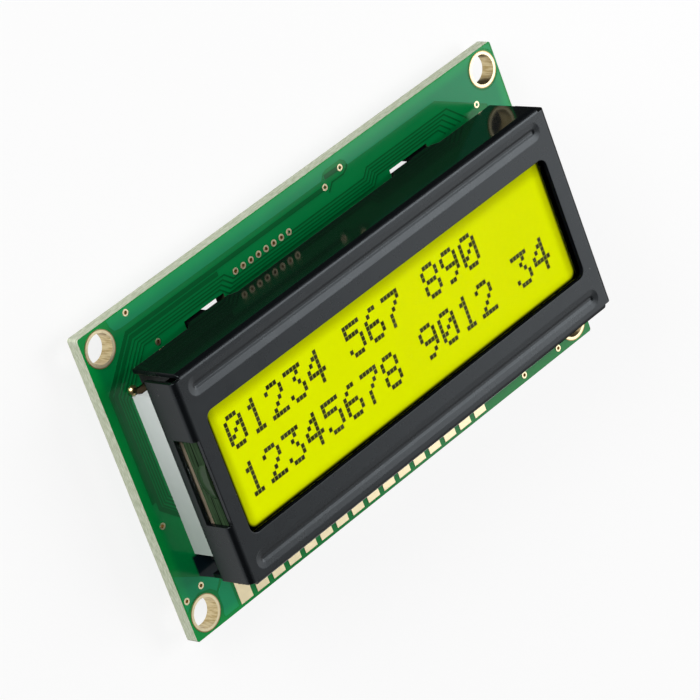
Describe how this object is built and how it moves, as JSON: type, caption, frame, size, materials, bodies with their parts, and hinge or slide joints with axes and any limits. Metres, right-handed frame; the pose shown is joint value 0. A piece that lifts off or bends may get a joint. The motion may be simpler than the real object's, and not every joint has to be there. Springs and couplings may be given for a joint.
{
  "type": "character lcd module",
  "caption": "Character LCD module on a green circuit board, with a black folded steel bezel, yellow-green backlit window, plated corner holes and a header pad row.",
  "frame": {"origin": "under the middle of the board, on the plane of the four twisted bezel tabs it rests on", "axes": "+X along the text from left to right, +Y up the text, +Z out of the screen"},
  "size_m": [0.065, 0.0362, 0.0118],
  "materials": {
    "fr4_green": "green solder mask over glass-epoxy laminate, semi-gloss",
    "gold_finish": "immersion-gold finish",
    "bezel_paint": "satin blue-black paint",
    "polariser": "clear gloss film",
    "cell_glass": "polished float glass",
    "seal_resin": "cured epoxy seal",
    "plug_resin": "clear cured resin",
    "lit_film": "yellow-green transflective film, lit from behind",
    "diffuser": "matt diffuser film",
    "strip_rubber": "layered silicone rubber",
    "white_frame": "translucent white moulding",
    "white_board": "white solder mask",
    "led_package": "clear epoxy LED package",
    "pin_gold": "gold-plated pin",
    "solder": "bright solder",
    "cap_resin": "black epoxy",
    "resistor_body": "black glazed ceramic",
    "capacitor_body": "tan ceramic",
    "terminal_tin": "tinned"
  },
  "bodies": {
    "root": {"circuit_board": "fr4_green", "mounting_rings": "gold_finish", "header_pads": "gold_finish", "via_rings": "gold_finish", "contact_fingers": "gold_finish", "bezel": "bezel_paint", "front_polariser": "polariser", "front_glass": "cell_glass", "cell_seal": "seal_resin", "end_plug": "plug_resin", "rear_glass": "cell_glass", "rear_polariser": "lit_film", "diffuser_film": "diffuser", "upper_contact_strip": "strip_rubber", "lower_contact_strip": "strip_rubber", "backlight_frame": "white_frame", "backlight_board": "white_board", "backlight_leds": "led_package", "backlight_pins": "pin_gold", "pin_solder": "solder", "controller_cap": "cap_resin", "driver_cap": "cap_resin", "chip_resistors": "resistor_body", "chip_capacitors": "capacitor_body", "chip_terminals": "terminal_tin", "chip_solder": "solder"}
  },
  "joints": []
}
